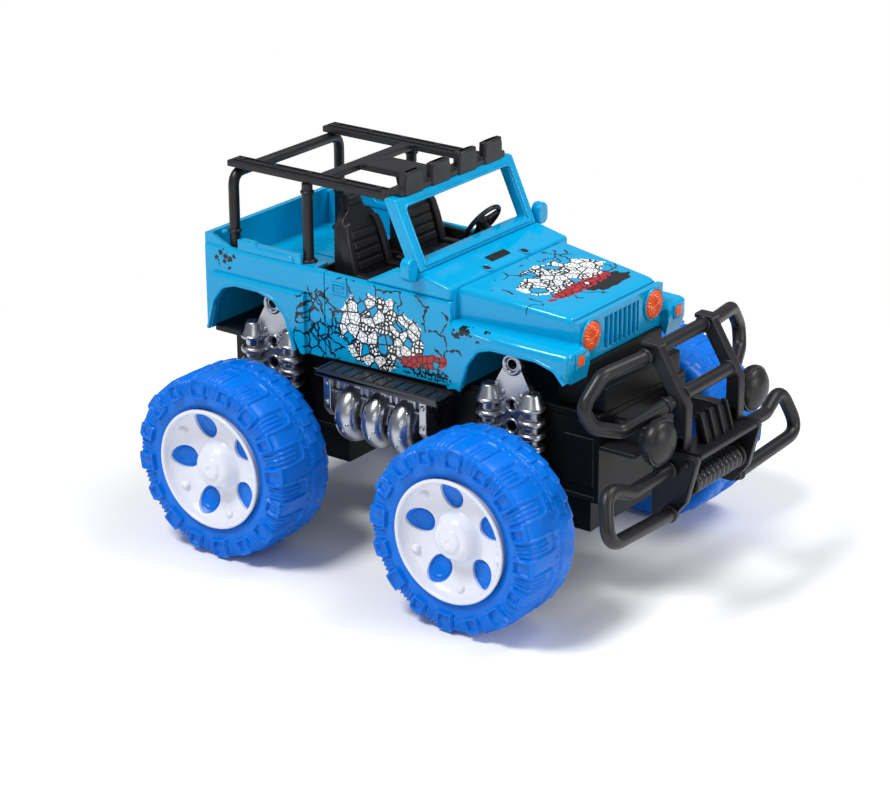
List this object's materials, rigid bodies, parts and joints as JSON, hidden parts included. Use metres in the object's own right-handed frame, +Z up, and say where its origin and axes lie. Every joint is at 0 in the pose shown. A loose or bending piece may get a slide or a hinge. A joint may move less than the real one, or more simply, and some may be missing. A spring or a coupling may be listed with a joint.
{
  "type": "toy monster truck",
  "caption": "Toy off-road truck with an open glossy shell, roll cage, big blue wheels on two turning axles, chrome-look springs and a black front bumper with winch.",
  "frame": {"origin": "ground level under the centre of the toy's bounding box", "axes": "+X forward, +Y to the toy's left, +Z up"},
  "size_m": [0.164, 0.1214, 0.1142],
  "materials": {
    "black": "satin moulded black plastic",
    "motor": "plain block",
    "steel": "drawn steel pin",
    "tyre": "semi-soft blue moulded plastic",
    "white": "glossy white moulded plastic",
    "chrome": "bright vacuum plating on moulded plastic",
    "gunmetal": "dark metallic plastic",
    "blue": "glossy sky blue moulded plastic with printed graphics",
    "orange": "printed orange lamp lens"
  },
  "bodies": {
    "truck": {"chassis": "black", "chassis_deck": "black", "nose_block": "black", "friction_motor": "motor", "front_axle_box": "black", "rear_axle_box": "black", "front_left_springs": "chrome", "front_right_springs": "chrome", "rear_left_springs": "chrome", "rear_right_springs": "chrome", "left_side_unit": "chrome", "right_side_unit": "chrome", "left_running_board": "gunmetal", "right_running_board": "gunmetal", "load_bed": "blue", "left_door": "blue", "right_door": "blue", "cowl": "blue", "windscreen_frame": "blue", "left_mirror": "blue", "right_mirror": "blue", "bonnet": "blue", "front_fenders": "blue", "headlamps": "orange", "turn_signals": "orange", "cabin_tray": "black", "left_seat": "black", "right_seat": "black", "steering_wheel": "black", "roll_cage": "black", "roof_rack": "black", "bumper_frame": "black", "left_bumper_hoops": "black", "right_bumper_hoops": "black", "left_fog_lamp": "black", "right_fog_lamp": "black", "winch_drum": "black"},
    "front_wheels": {"front_axle": "steel", "front_left_tyre": "tyre", "front_right_tyre": "tyre", "front_left_hub_cap": "white", "front_right_hub_cap": "white"},
    "rear_wheels": {"rear_axle": "steel", "rear_left_tyre": "tyre", "rear_right_tyre": "tyre", "rear_left_hub_cap": "white", "rear_right_hub_cap": "white"}
  },
  "joints": [
    {"name": "front_wheels_roll", "type": "hinge", "parent": "truck", "child": "front_wheels", "pos_m": [0.0306, 0, 0.0276], "axis": [0, 1, 0], "continuous": true},
    {"name": "rear_wheels_roll", "type": "hinge", "parent": "truck", "child": "rear_wheels", "pos_m": [-0.0544, 0, 0.0276], "axis": [0, 1, 0], "continuous": true}
  ]
}
